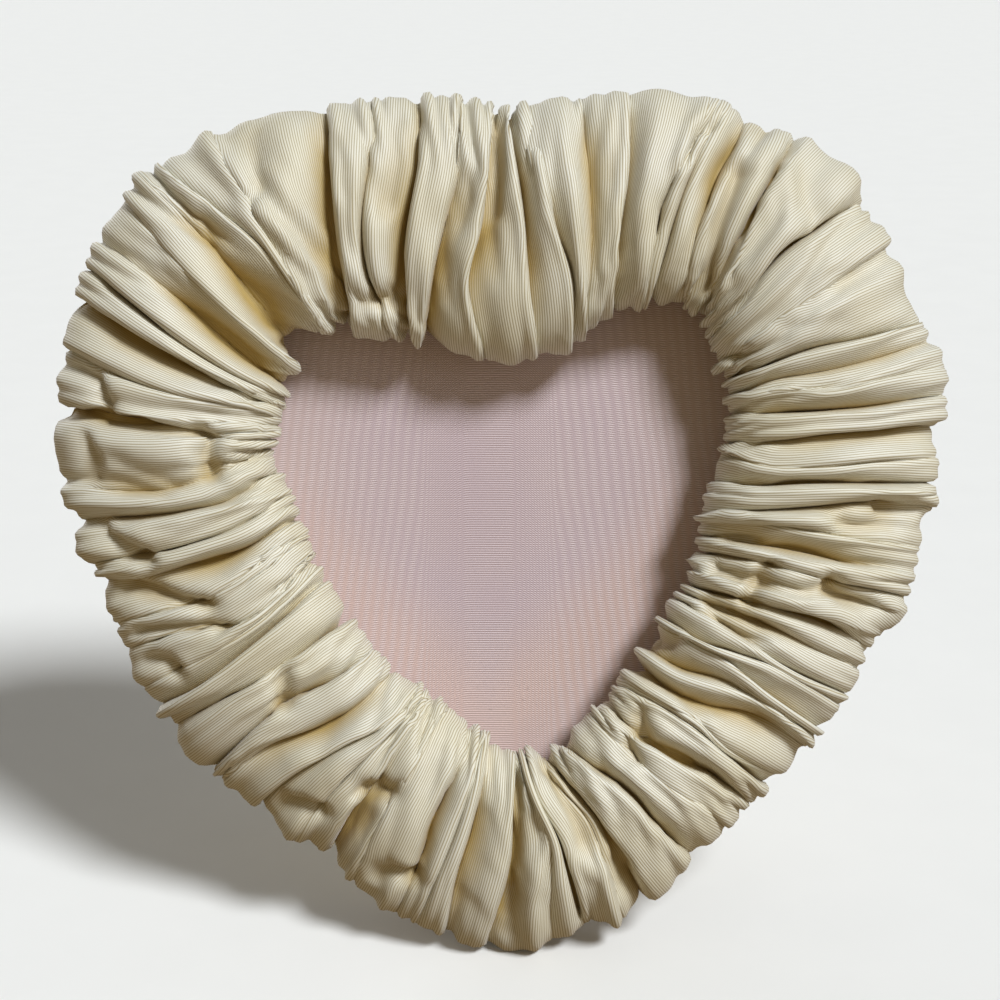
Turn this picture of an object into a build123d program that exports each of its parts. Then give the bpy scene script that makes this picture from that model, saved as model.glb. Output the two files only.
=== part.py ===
from build123d import *
import math
import os

# A padded fabric picture frame in the shape of a heart. It stands on the
# gathered sleeve at its point and on an easel leg behind. Millimetres.
# The pieces are built in the frame's own upright position: X to the right,
# Y to the rear with zero at the back of the front board, Z up from the
# lowest tip of the sleeve. At the end they lean back together, and the
# origin moves to the middle of the footprint on the table.

# Overall shape
frame_width = 205.0
frame_height = 195.5
band_side_width = 51.0
band_top_width = 50.0
window_sill = 44.0
lean_angle = 15.0
leg_spread = 17.0

# Gathered sleeve and its filling
wadding_depth = 13.7
fold_height = 3.6
gather_pitch = 12.0
sleeve_cloth = 1.0
cloth_gap = 0.3
turn_in_width = 10.0
edge_round = 3.0
rest_flat = 0.5
thread_width = 0.5
thread_inset = 1.0

# Boards and their covers
board_thickness = 2.5
panel_thickness = 2.0
back_thickness = 2.0
cover_cloth = 0.4
cover_turn_in = 8.0
board_margin = 0.8
back_inset = 9.0
pocket_depth = 1.5
pocket_strip_width = 6.5
pocket_slot_drop = 46.0

# Easel leg
hinge_height = 120.0
leg_top_width = 26.0
leg_foot_width = 42.0
leg_thickness = 2.5
leg_top_drop = 3.0
leg_corner = 4.0

# Hinge between the back and the leg
hinge_width = 24.0
hinge_leaf_length = 18.0
hinge_leaf_thickness = 0.6
hinge_corner = 2.0
hinge_pin_diameter = 1.9
hinge_pin_clearance = 0.05
hinge_knuckle_gap = 0.3
hinge_middle_knuckle = 9.4
pin_head_height = 0.6
pin_head_rim = 0.5
rivet_shank_diameter = 2.0
rivet_head_diameter = 4.0
rivet_head_height = 0.9
rivet_tail_height = 0.5
rivet_dome_share = 0.8
rivet_spacing = 14.0
rivet_line_drop = 11.0

# Stay ribbon that stops the leg from opening too far
stay_height = 35.0
ribbon_width = 9.0
ribbon_thickness = 0.4
ribbon_lap = 7.0
ribbon_bend = 1.5
ribbon_clearance = 0.1

# Half of the sleeve's outline and of the window's edge, from the cleft at the
# top down to the point. Each row is one fold line across the band: x and z of
# its outer end as shares of half the frame's width and of its height, then x
# and z of its end at the window as shares of half the window's width and of
# its height above the sill.
fold_line_shares = (
    (0.000, 0.977, 0.000, 0.887),
    (0.273, 1.000, 0.291, 0.921),
    (0.468, 0.992, 0.524, 0.990),
    (0.624, 0.969, 0.738, 1.000),
    (0.820, 0.903, 0.913, 0.921),
    (0.927, 0.798, 1.000, 0.808),
    (1.000, 0.645, 0.980, 0.680),
    (0.966, 0.532, 0.922, 0.562),
    (0.878, 0.409, 0.835, 0.443),
    (0.732, 0.292, 0.689, 0.315),
    (0.566, 0.179, 0.505, 0.192),
    (0.400, 0.092, 0.320, 0.089),
    (0.234, 0.028, 0.155, 0.025),
    (0.000, 0.000, 0.000, 0.000),
)

# The gathers are uneven. Each pair is a width and a height, as shares of the
# pitch and of the fold height, and each half runs through its own list.
right_gather_shares = (
    (1.5, 1.0),
    (0.7, 0.6),
    (1.2, 0.9),
    (0.6, 0.5),
    (1.0, 1.0),
    (1.4, 0.9),
    (0.8, 0.7),
    (0.7, 0.6),
    (1.1, 0.95),
    (0.6, 0.5),
    (0.9, 0.8),
)
left_gather_shares = (
    (0.8, 0.7),
    (1.3, 1.0),
    (0.6, 0.5),
    (1.6, 0.95),
    (1.2, 0.85),
    (0.7, 0.6),
    (1.5, 1.0),
    (0.8, 0.75),
    (0.6, 0.5),
    (1.0, 0.9),
)

# Cross-section of the band, as shares of its own width and depth: the folds'
# side stands out at side_share of the depth, and the crown starts at the
# shoulder. A fold rises steeply, stays high and falls away.
side_share = 0.28
shoulder_width_share = 0.13
shoulder_depth_share = 0.70
fold_rise_share = 0.30
fold_fall_share = 0.74
fold_fall_height_share = 0.85

window_width = frame_width - 2 * band_side_width
window_height = frame_height - band_top_width - window_sill
fold_angle = lean_angle + leg_spread
stay_drop = hinge_height - stay_height
wadding_crest = board_thickness + wadding_depth
wadding_inset = fold_height + sleeve_cloth + cloth_gap
board_inset = wadding_inset + edge_round + board_margin
pocket_front = sleeve_cloth
panel_front = pocket_front + pocket_depth
panel_rear = panel_front + cover_cloth + panel_thickness + cover_cloth
back_front = panel_rear + cover_cloth
back_rear = back_front + back_thickness + cover_cloth
knuckle_radius = hinge_pin_diameter / 2 + hinge_leaf_thickness + hinge_pin_clearance
pin_depth = back_rear + knuckle_radius


def fold_line_points(row):
    """Inner and outer end of one row of the table, in the frame's XZ plane."""
    outer_x, outer_z, inner_x, inner_z = row
    outer = Vector(outer_x * frame_width / 2, 0, outer_z * frame_height)
    inner = Vector(inner_x * window_width / 2, 0, window_sill + inner_z * window_height)
    return inner, outer


def closed_curve(half_points):
    """A closed smooth curve through the points of the right half and their
    mirror images."""
    left = [Vector(-p.X, p.Y, p.Z) for p in half_points[-2:0:-1]]
    return Edge.make_spline(half_points + left, periodic=True)


def window_side_curve(inset):
    """The window's edge, moved into the band by inset along the fold lines."""
    points = []
    for row in fold_line_shares:
        inner, outer = fold_line_points(row)
        points.append(inner + (outer - inner).normalized() * inset)
    return closed_curve(points)


def outer_side_curve(inset):
    """The band's outer edge, moved into the band by inset."""
    points = []
    for row in fold_line_shares:
        inner, outer = fold_line_points(row)
        points.append(outer - (outer - inner).normalized() * inset)
    return closed_curve(points)


def slab(outer, front, rear, holes=()):
    """A flat sheet between two depths, inside one closed curve and outside
    the others."""
    face = Face(Wire([outer]), [Wire([hole]) for hole in holes])
    return Pos(0, front, 0) * extrude(face, amount=rear - front, dir=(0, 1, 0))


outer_edge = outer_side_curve(0)
window_edge = window_side_curve(0)
row_reach = [
    (
        outer_edge.param_at_point(fold_line_points(row)[1]),
        window_edge.param_at_point(fold_line_points(row)[0]),
    )
    for row in fold_line_shares
]
row_reach[0] = (0, 0)


def fold_line(share, side):
    """Window end, outward direction and length of the fold line that lies at
    this share of the way from the cleft to the point."""
    reach = share * row_reach[-1][0]
    k = 0
    while k < len(row_reach) - 2 and reach > row_reach[k + 1][0]:
        k += 1
    part = (reach - row_reach[k][0]) / (row_reach[k + 1][0] - row_reach[k][0])
    window_reach = row_reach[k][1] + part * (row_reach[k + 1][1] - row_reach[k][1])
    inner = window_edge.position_at(window_reach)
    outer = outer_edge.position_at(reach)
    inner = Vector(side * inner.X, 0, inner.Z)
    outer = Vector(side * outer.X, 0, outer.Z)
    if share in (0, 1):
        inner, outer = Vector(0, 0, inner.Z), Vector(0, 0, outer.Z)
    return inner, (outer - inner).normalized(), (outer - inner).length


def across_band(line, across, depth):
    """A point of the cross-section at one fold line."""
    window_end, way, width = line
    return window_end + way * across + Vector(0, depth, 0)


def bulge(line, inset, crest, rear):
    """Three arcs over the band: the round at the window, the crown, and the
    round at the outer edge."""
    width = line[-1]
    shoulder = inset + shoulder_width_share * width
    arcs = []
    for start, middle, end in (
        (
            (inset + edge_round, rear),
            (inset, -side_share * crest),
            (shoulder, -shoulder_depth_share * crest),
        ),
        (
            (shoulder, -shoulder_depth_share * crest),
            (width / 2, -crest),
            (width - shoulder, -shoulder_depth_share * crest),
        ),
        (
            (width - shoulder, -shoulder_depth_share * crest),
            (width - inset, -side_share * crest),
            (width - inset - edge_round, rear),
        ),
    ):
        points = [across_band(line, *point) for point in (start, middle, end)]
        arcs.append(Edge.make_three_point_arc(*points))
    return arcs


def sleeve_section(line, stand_off):
    """Closed cross-section of the sleeve: its outer face, both turn-ins
    behind the board, and its inner face one cloth below."""
    width = line[-1]
    inset = fold_height - stand_off
    crest = wadding_crest + cloth_gap + stand_off
    lip = board_inset + turn_in_width
    outer_face = bulge(line, inset, crest + sleeve_cloth, sleeve_cloth)
    inner_face = bulge(line, inset + sleeve_cloth, crest, 0)
    path = [Edge.make_line(across_band(line, lip, sleeve_cloth), outer_face[0] @ 0)]
    path += outer_face
    corners = (
        outer_face[-1] @ 1,
        across_band(line, width - lip, sleeve_cloth),
        across_band(line, width - lip, 0),
        inner_face[-1] @ 1,
    )
    path += [Edge.make_line(start, end) for start, end in zip(corners, corners[1:])]
    path += [arc.reversed() for arc in reversed(inner_face)]
    corners = (
        inner_face[0] @ 0,
        across_band(line, lip, 0),
        across_band(line, lip, sleeve_cloth),
    )
    path += [Edge.make_line(start, end) for start, end in zip(corners, corners[1:])]
    return Wire(path)


def wadding_section(line):
    """Closed cross-section of the filling, one gap inside the valleys of the
    sleeve. Its rear is cut flat later, where it lies on the board."""
    arcs = bulge(line, wadding_inset, wadding_crest, -cloth_gap)
    return Wire(arcs + [Edge.make_line(arcs[-1] @ 1, arcs[0] @ 0)])


def gather_steps(gather_shares):
    """The places along one half where the cloth turns, with its stand-off
    there: each gather starts in a valley, rises, and falls away again."""
    count = round(outer_edge.length / 2 / gather_pitch)
    gathers = [gather_shares[k % len(gather_shares)] for k in range(count)]
    whole = sum(width for width, height in gathers)
    steps = []
    start = 0
    for width, height in gathers:
        share = width / whole
        rise = fold_height * height
        steps.append((start, 0))
        steps.append((start + fold_rise_share * share, rise))
        steps.append((start + fold_fall_share * share, rise * fold_fall_height_share))
        start += share
    steps.append((1, 0))
    return steps


halves = ((1, gather_steps(right_gather_shares)), (-1, gather_steps(left_gather_shares)))


def ruched_sleeve():
    """Faille sleeve drawn up on threads, so that it stands in deep folds
    across the band. Its edges turn in behind the front board."""
    shells = []
    for side, steps in halves:
        sections = [sleeve_section(fold_line(share, side), rise) for share, rise in steps]
        shells.append(Solid.make_loft(sections, ruled=True))
    return shells[0].fuse(shells[1])


def wadding_ring():
    """Soft filling, crowned from the window's edge to the outer edge."""
    rings = []
    for side, steps in halves:
        valleys = [share for share, rise in steps if rise == 0]
        sections = [wadding_section(fold_line(share, side)) for share in valleys]
        rings.append(Solid.make_loft(sections, ruled=True))
    board_space = Box(frame_width, wadding_crest, 2 * frame_height)
    return rings[0].fuse(rings[1]) - Pos(0, wadding_crest / 2 - board_thickness, 0) * board_space


def front_board():
    """Chipboard ring that carries the filling and the sleeve."""
    return slab(
        outer_side_curve(board_inset), -board_thickness, 0, [window_side_curve(board_inset)]
    )


def gather_thread(curve, edge):
    """Draw thread round one turned-in edge of the sleeve, pulled up tight."""
    inset = board_inset + turn_in_width - thread_inset
    rings = curve(inset), curve(inset - thread_width)
    outer, hole = rings if edge == "window" else reversed(rings)
    return slab(outer, sleeve_cloth, sleeve_cloth + thread_width, [hole])


def pocket_spacer():
    """Card strip round the pocket, open at the top so that a picture can
    slide in behind the window."""
    strip = slab(
        outer_side_curve(board_inset),
        pocket_front,
        panel_front,
        [outer_side_curve(board_inset + pocket_strip_width)],
    )
    slot = Box(frame_width, board_thickness + panel_front, pocket_slot_drop)
    slot_height = frame_height - pocket_slot_drop / 2
    return strip - Pos(0, panel_front / 2, slot_height) * slot


def wrapped_cover(inset, front, rear, skin_first):
    """Cloth round a board: a skin on one face, its edge, and a turn-in
    on the other face."""
    outside = slab(outer_side_curve(inset), front, rear)
    inside = slab(outer_side_curve(inset + cover_cloth), front + cover_cloth, rear - cover_cloth)
    opening = outer_side_curve(inset + cover_turn_in)
    if skin_first:
        mouth = slab(opening, rear - cover_cloth, rear)
    else:
        mouth = slab(opening, front, front + cover_cloth)
    return outside - inside - mouth


def panel_board():
    return slab(
        outer_side_curve(back_inset + cover_cloth),
        panel_front + cover_cloth,
        panel_rear - cover_cloth,
    )


def panel_cover():
    """Watered silk over the panel that shows through the window."""
    return wrapped_cover(back_inset, panel_front, panel_rear, True)


def rivet_hole(y, z, x=0):
    """A cylinder along Y through everything at one rivet."""
    reach = 2 * (back_rear + leg_thickness)
    return Pos(x, y, z) * Rot(X=90) * Cylinder(rivet_shank_diameter / 2, reach)


rivet_places = (-rivet_spacing / 2, rivet_spacing / 2)
back_rivet_height = hinge_height + rivet_line_drop
leg_rivet_height = hinge_height - rivet_line_drop


def back_holes():
    holes = [rivet_hole(back_rear, back_rivet_height, x) for x in rivet_places]
    return holes + [rivet_hole(back_rear, stay_height)]


def back_board():
    """Chipboard back that carries the hinge and the stay."""
    board = slab(outer_side_curve(back_inset + cover_cloth), back_front, back_rear - cover_cloth)
    return board - back_holes()


def back_cover():
    """Cream cloth over the back, turned in to the front of the back board."""
    return wrapped_cover(back_inset, panel_rear, back_rear, False) - back_holes()


def hinge_leaf(up, own, other, front):
    """One leaf of the hinge: a plate with rolled knuckles on the pin. own
    and other hold the x ranges of its knuckles and of the other leaf's."""
    length = hinge_leaf_length
    plate = Box(hinge_width, hinge_leaf_thickness, length)
    plate = fillet(plate.edges().filter_by(Axis.Y).group_by(Axis.Z)[1 if up > 0 else 0], hinge_corner)
    plate = Pos(0, front + hinge_leaf_thickness / 2, hinge_height + up * length / 2) * plate
    axis = Pos(0, pin_depth, hinge_height) * Rot(Y=90)
    room = knuckle_radius + hinge_knuckle_gap
    for low, high in other:
        clear = Box(high - low + 2 * hinge_knuckle_gap, 2 * room, 2 * room)
        plate -= Pos((low + high) / 2, pin_depth, hinge_height) * clear
    for low, high in own:
        plate += Pos((low + high) / 2, 0, 0) * axis * Cylinder(knuckle_radius, high - low)
    bore = hinge_pin_diameter / 2 + hinge_pin_clearance
    plate -= axis * Cylinder(bore, 2 * hinge_width)
    rivet_line = hinge_height + up * rivet_line_drop
    return plate - [rivet_hole(front, rivet_line, x) for x in rivet_places]


middle_knuckle = ((-hinge_middle_knuckle / 2, hinge_middle_knuckle / 2),)
outer_knuckle_start = hinge_middle_knuckle / 2 + hinge_knuckle_gap
outer_knuckles = ((-hinge_width / 2, -outer_knuckle_start), (outer_knuckle_start, hinge_width / 2))
leg_leaf_front = pin_depth + knuckle_radius - hinge_leaf_thickness
leg_front = pin_depth + knuckle_radius
leg_rear = leg_front + leg_thickness + 2 * cover_cloth


def hinge_pin():
    """Pin with two upset heads, held in the outer knuckles."""
    radius = hinge_pin_diameter / 2
    head = Cylinder(radius + pin_head_rim, pin_head_height)
    pin = Cylinder(radius, hinge_width + 2 * pin_head_height)
    for side in (-1, 1):
        pin += Pos(0, 0, side * (hinge_width + pin_head_height) / 2) * head
    return Pos(0, pin_depth, hinge_height) * Rot(Y=90) * pin


def rivet(head_face, tail_face, x, z, way=1):
    """Rivet along Y. way is 1 for a head to the rear. The head is domed and
    the clenched tail is flat."""
    grip = abs(head_face - tail_face)
    radius = rivet_head_diameter / 2
    shank = Cylinder(rivet_shank_diameter / 2, grip)
    tail = Cylinder(radius, rivet_tail_height)
    head = Cylinder(radius, rivet_head_height)
    head = fillet(head.edges().group_by(Axis.Z)[-1], rivet_head_height * rivet_dome_share)
    body = shank + Pos(0, 0, (grip + rivet_head_height) / 2) * head
    body += Pos(0, 0, -(grip + rivet_tail_height) / 2) * tail
    return Pos(x, (head_face + tail_face) / 2, z) * Rot(X=-90 * way) * body


def hinge_back_rivets():
    head_face = back_rear + hinge_leaf_thickness
    return [rivet(head_face, back_front, x, back_rivet_height) for x in rivet_places]


def hinge_leg_rivets():
    return [rivet(leg_rear, leg_leaf_front, x, leg_rivet_height) for x in rivet_places]


def stay_back_rivet():
    return [rivet(back_rear + ribbon_thickness + ribbon_clearance, back_front, 0, stay_height)]


def stay_leg_rivet():
    inner_face = leg_front - ribbon_thickness - 2 * ribbon_clearance
    return [rivet(inner_face, leg_rear, 0, stay_height, -1)]


def leg_blank(grow):
    """The leg board grown by one cover all round, long enough to be cut at
    the table."""
    top = hinge_height - leg_top_drop - cover_cloth + grow
    length = 2 * hinge_height
    taper = (leg_foot_width - leg_top_width) / 2 * length / hinge_height
    half_top = leg_top_width / 2 + grow
    shape = Polyline(
        (-half_top, 0, top),
        (half_top, 0, top),
        (half_top + taper, 0, top - length),
        (-half_top - taper, 0, top - length),
        close=True,
    )
    face = fillet(make_face(shape).vertices().group_by(Axis.Z)[-1], leg_corner + grow)
    front, rear = leg_front + cover_cloth - grow, leg_rear - cover_cloth + grow
    return Pos(0, front, 0) * extrude(face, amount=rear - front, dir=(0, 1, 0))


def leg_holes():
    middle = (leg_front + leg_rear) / 2
    holes = [rivet_hole(middle, leg_rivet_height, x) for x in rivet_places]
    return holes + [rivet_hole(middle, stay_height)]


def swing(solid):
    """Turns a piece of the leg about the hinge pin, from folded to open."""
    pin = Pos(0, pin_depth, hinge_height)
    return pin * Rot(X=fold_angle) * pin.inverse() * solid


def stay_ribbon():
    """Satin ribbon, taut when the leg is open, lapped under a rivet at each
    end."""
    turn = math.radians(fold_angle)

    def on_back(drop):
        return 0, back_rear + ribbon_thickness / 2, hinge_height - drop

    def on_leg(drop):
        out = leg_front - pin_depth - ribbon_thickness / 2 - ribbon_clearance
        y = out * math.cos(turn) + drop * math.sin(turn)
        z = out * math.sin(turn) - drop * math.cos(turn)
        return 0, pin_depth + y, hinge_height + z

    path = FilletPolyline(
        on_back(stay_drop - ribbon_lap),
        on_back(stay_drop + ribbon_lap),
        on_leg(stay_drop + ribbon_lap),
        on_leg(stay_drop - ribbon_lap),
        radius=ribbon_bend,
    )
    end = Plane(path @ 0, x_dir=(1, 0, 0), z_dir=path % 0)
    ribbon = sweep(end * Rectangle(ribbon_width, ribbon_thickness), path=path)
    ribbon -= rivet_hole(back_rear, stay_height)
    return ribbon - swing(rivet_hole(leg_front, stay_height))


floor_side = 4 * frame_width


def floor_block(level):
    """Everything below a level of the leaned frame."""
    return Pos(0, 0, level - floor_side / 2) * Box(floor_side, floor_side, floor_side)


def lean(solid):
    return Rot(X=-lean_angle) * solid


sleeve = lean(ruched_sleeve())
floor_level = sleeve.bounding_box().min.Z + rest_flat
leg_cover_outside = lean(swing(leg_blank(cover_cloth))) - floor_block(floor_level)
leg_board_solid = lean(swing(leg_blank(0))) - floor_block(floor_level + cover_cloth)
leg_rivet_holes = [lean(swing(hole)) for hole in leg_holes()]

leaned = {
    "ruched_sleeve": sleeve - floor_block(floor_level),
    "wadding_ring": lean(wadding_ring()),
    "front_board": lean(front_board()),
    "gather_thread_inner": lean(gather_thread(window_side_curve, "window")),
    "gather_thread_outer": lean(gather_thread(outer_side_curve, "outer")),
    "pocket_spacer": lean(pocket_spacer()),
    "panel_board": lean(panel_board()),
    "panel_cover": lean(panel_cover()),
    "back_board": lean(back_board()),
    "back_cover": lean(back_cover()),
    "hinge_back_leaf": lean(hinge_leaf(1, outer_knuckles, middle_knuckle, back_rear)),
    "hinge_pin": lean(hinge_pin()),
    "hinge_back_rivets": lean(Compound(hinge_back_rivets())),
    "stay_back_rivet": lean(Compound(stay_back_rivet())),
    "stay_ribbon": lean(stay_ribbon()),
    "leg_board": leg_board_solid - leg_rivet_holes,
    "leg_cover": leg_cover_outside - leg_board_solid - leg_rivet_holes,
    "hinge_leg_leaf": lean(swing(hinge_leaf(-1, middle_knuckle, outer_knuckles, leg_leaf_front))),
    "hinge_leg_rivets": lean(swing(Compound(hinge_leg_rivets()))),
    "stay_leg_rivet": lean(swing(Compound(stay_leg_rivet()))),
}

box = Compound(list(leaned.values())).bounding_box()
origin = Vector(box.center().X, box.center().Y, floor_level)
nodes = {name: Pos(*-origin) * solid for name, solid in leaned.items()}

os.makedirs("parts", exist_ok=True)
for name, solid in nodes.items():
    export_step(solid, f"parts/{name}.step")
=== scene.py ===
import math

import bmesh
import bpy
import numpy as np
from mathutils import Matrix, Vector


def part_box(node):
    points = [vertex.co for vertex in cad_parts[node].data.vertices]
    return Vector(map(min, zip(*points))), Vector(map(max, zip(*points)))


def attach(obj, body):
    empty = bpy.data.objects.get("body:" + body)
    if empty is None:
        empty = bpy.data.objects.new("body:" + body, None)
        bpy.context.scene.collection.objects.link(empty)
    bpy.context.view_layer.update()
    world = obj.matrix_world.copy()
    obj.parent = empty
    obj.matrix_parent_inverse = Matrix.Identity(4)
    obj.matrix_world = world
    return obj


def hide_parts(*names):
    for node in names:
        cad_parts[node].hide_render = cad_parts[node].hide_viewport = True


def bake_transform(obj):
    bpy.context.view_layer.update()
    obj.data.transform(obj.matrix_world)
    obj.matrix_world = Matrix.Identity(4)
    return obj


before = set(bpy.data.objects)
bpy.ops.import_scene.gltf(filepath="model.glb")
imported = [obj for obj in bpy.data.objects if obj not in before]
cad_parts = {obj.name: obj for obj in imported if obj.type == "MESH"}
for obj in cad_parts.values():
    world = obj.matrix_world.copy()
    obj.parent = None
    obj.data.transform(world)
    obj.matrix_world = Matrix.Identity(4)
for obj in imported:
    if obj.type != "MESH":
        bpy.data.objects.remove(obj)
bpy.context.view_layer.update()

# The eye. The frame was seen from straight in front and a little above, at
# arm's length, so near folds look larger than the panel behind them. The
# face leans back 15 degrees from upright.
picture_pixels = 1000
eye_distance = 0.42
eye_elevation = math.radians(19)
view_width = 0.2262
face_lean = math.radians(15)
pin_height = 0.120
pin_depth = 0.0097
face_middle_pixel = (507, 520)
middle_column = 502
foot_pixel_row = 968
middle_stand_off = 0.006

right = np.array((1.0, 0.0, 0.0))
up = np.array((0.0, math.sin(face_lean), math.cos(face_lean)))
out = np.array((0.0, -math.cos(face_lean), math.sin(face_lean)))
pin_low, pin_high = (np.array(corner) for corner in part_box("hinge_pin"))
face_origin = (pin_low + pin_high) / 2 - up * pin_height + out * pin_depth


def on_frame(x, z, stand_off):
    """World points from places across and up the face, and their height in
    front of the rear of the front board."""
    x, z, stand_off = (np.asarray(value, float)[..., None] for value in (x, z, stand_off))
    return face_origin + x * right + z * up + stand_off * out


eye_ahead = np.array((0.0, math.cos(eye_elevation), -math.sin(eye_elevation)))
eye_up = np.array((0.0, math.sin(eye_elevation), math.cos(eye_elevation)))
eye_target = on_frame(
    (picture_pixels / 2 - middle_column) * view_width / picture_pixels,
    (foot_pixel_row - picture_pixels / 2) * view_width / picture_pixels,
    middle_stand_off,
)
eye_place = eye_target - eye_ahead * eye_distance


def from_picture(column, row, stand_off):
    """Where the sight line through one picture point meets the face, at a
    height in front of the rear of the front board: x and z on the face."""
    spread = view_width / eye_distance / picture_pixels
    sight = (
        eye_ahead
        + (np.asarray(column)[..., None] - picture_pixels / 2) * spread * right
        + (picture_pixels / 2 - np.asarray(row)[..., None]) * spread * eye_up
    )
    reach = (np.asarray(stand_off) - (eye_place - face_origin) @ out) / (sight @ out)
    place = eye_place + sight * reach[..., None] - face_origin
    return place @ right, place @ up


camera_data = bpy.data.cameras.new("eye")
camera_data.sensor_width = 36
camera_data.lens = camera_data.sensor_width * eye_distance / view_width
camera = bpy.data.objects.new("eye", camera_data)
bpy.context.collection.objects.link(camera)
camera.location = Vector(eye_place)
camera.rotation_euler = (math.pi / 2 - eye_elevation, 0, 0)
bpy.context.scene.camera = camera


# Front board. A ring of grey chipboard, cut to the heart, that carries the
# filling. It is wholly inside the cloth, so only its pulp and flecks matter.
def colour(red, green, blue):
    """Linear colour from a screen colour of 0 to 255, for parts above 10."""
    return [((part / 255 + 0.055) / 1.055) ** 2.4 for part in (red, green, blue)] + [1]


def new_finish(name, **values):
    """A material whose shader has these values."""
    finish = bpy.data.materials.new(name)
    finish.use_nodes = True
    feed(finish, **values)
    return finish


def plug(finish, socket, value):
    """Sets a socket to a value, or links another node's output to it."""
    if isinstance(value, bpy.types.NodeSocket):
        finish.node_tree.links.new(value, socket)
    else:
        socket.default_value = value


def feed(finish, **values):
    """Gives the shader's sockets values or other nodes' outputs, by name."""
    shader = finish.node_tree.nodes["Principled BSDF"]
    for key, value in values.items():
        plug(finish, shader.inputs[key.replace("_", " ").title().replace("Ior", "IOR")], value)


def node(finish, kind, sockets=(), **settings):
    """Adds one shading node and fills its sockets."""
    made = finish.node_tree.nodes.new("ShaderNode" + kind)
    for key, value in settings.items():
        setattr(made, key, value)
    for key, value in dict(sockets).items():
        plug(finish, made.inputs[key], value)
    return made


def blend(finish, share, first, second):
    """A mix of two colours, each a constant or an output, by share."""
    return node(finish, "Mix", {"Factor": share, 6: first, 7: second}, data_type="RGBA").outputs[2]


def maths(finish, operation, first, second=0.0):
    """One step of arithmetic."""
    return node(finish, "Math", {0: first, 1: second}, operation=operation).outputs[0]


def ramp(finish, value, low, high, start=0.0, end=1.0):
    """Maps a value between low and high to the range from start to end."""
    sockets = {"Value": value, "From Min": low, "From Max": high, "To Min": start, "To Max": end}
    return node(finish, "MapRange", sockets, interpolation_type="SMOOTHSTEP").outputs[0]


def speckle(finish, scale, detail=3.0, roughness=0.55, stretch=(1, 1, 1)):
    """Noise in the object's own metres. Stretch scales it along each axis."""
    place = node(finish, "TexCoord").outputs["Object"]
    place = node(finish, "Mapping", {"Vector": place, "Scale": stretch}).outputs[0]
    sockets = {"Vector": place, "Scale": scale, "Detail": detail, "Roughness": roughness}
    return node(finish, "TexNoise", sockets).outputs["Fac"]


def relief(finish, height, depth, strength=1.0):
    """Bumps of one depth in metres."""
    bump = node(finish, "Bump", {"Strength": strength, "Distance": depth, "Height": height})
    feed(finish, normal=bump.outputs[0])


def chipboard_finish():
    """Grey pulp board with pale and dark fibres."""
    finish = new_finish("chipboard", roughness=0.9)
    fibres = speckle(finish, 900, 5, 0.7)
    flecks = ramp(finish, speckle(finish, 2600, 1), 0.62, 0.7)
    pulp = blend(finish, fibres, colour(139, 128, 112), colour(168, 157, 140))
    feed(finish, base_color=blend(finish, flecks, pulp, colour(96, 84, 70)))
    relief(finish, fibres, 0.0002, 0.5)
    return finish


def dress(node_name, finish):
    """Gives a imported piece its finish."""
    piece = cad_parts[node_name]
    piece.data.materials.clear()
    piece.data.materials.append(finish)


chipboard = chipboard_finish()
for board in ("front_board", "pocket_spacer", "panel_board", "back_board", "leg_board"):
    dress(board, chipboard)


# Wadding. A ring of soft polyester felt that lies on the front board under
# the sleeve and makes the band stand proud. The cloth holds it down.
outer_rim_pixels = (
    409.5, 430.5, 462.5, 453.5, 471, 482, 467.5, 453, 425, 410, 428.5, 440.5,
    470, 486.5, 490.5, 493, 466, 455.5, 425, 408, 397.5, 394.5, 386, 377,
    375.5, 399, 416, 426.5, 413, 403, 381, 372, 368.5, 377.5, 379.5, 403,
)
window_rim_pixels = (
    (300, 342), (340, 330), (400, 342), (460, 352), (500, 362), (545, 353), (575, 345),
    (600, 322), (640, 305), (700, 320), (715, 370), (728, 400), (720, 460), (700, 510),
    (690, 570), (650, 625), (610, 690), (545, 745), (515, 752), (490, 738), (440, 703),
    (385, 660), (330, 590), (300, 520), (275, 450), (275, 420), (297, 380),
)
fold_top = 0.0205
side_stand_off = 0.0055
window_fullness, outer_fullness = 2.3, 2.0


def soft_steps(where, places, values, turn=None):
    """A smooth curve through values at places. With turn it repeats after
    that many units."""
    places, values = np.asarray(places, float), np.asarray(values, float)
    if turn:
        places = np.r_[places - turn, places, places + turn]
        values = np.r_[values, values, values]
    slopes = np.gradient(values, places)
    k = np.clip(np.searchsorted(places, where, side="right") - 1, 0, len(places) - 2)
    step = places[k + 1] - places[k]
    u = np.clip((where - places[k]) / step, 0, 1)
    return (
        values[k] * (1 + 2 * u) * (1 - u) ** 2
        + slopes[k] * step * u * (1 - u) ** 2
        + values[k + 1] * u * u * (3 - 2 * u)
        + slopes[k + 1] * step * u * u * (u - 1)
    )


def rim_reach(rim_pixels):
    """Bearings and distances of rim points about the face's middle."""
    columns, rows = np.array(rim_pixels, float).T
    across, above = columns - face_middle_pixel[0], face_middle_pixel[1] - rows
    bearings = np.degrees(np.arctan2(above, across)) % 360
    order = np.argsort(bearings)
    return bearings[order], np.hypot(across, above)[order]


window_bearings, window_reaches = rim_reach(window_rim_pixels)
outer_bearings = np.arange(len(outer_rim_pixels)) * 360 / len(outer_rim_pixels)


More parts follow.
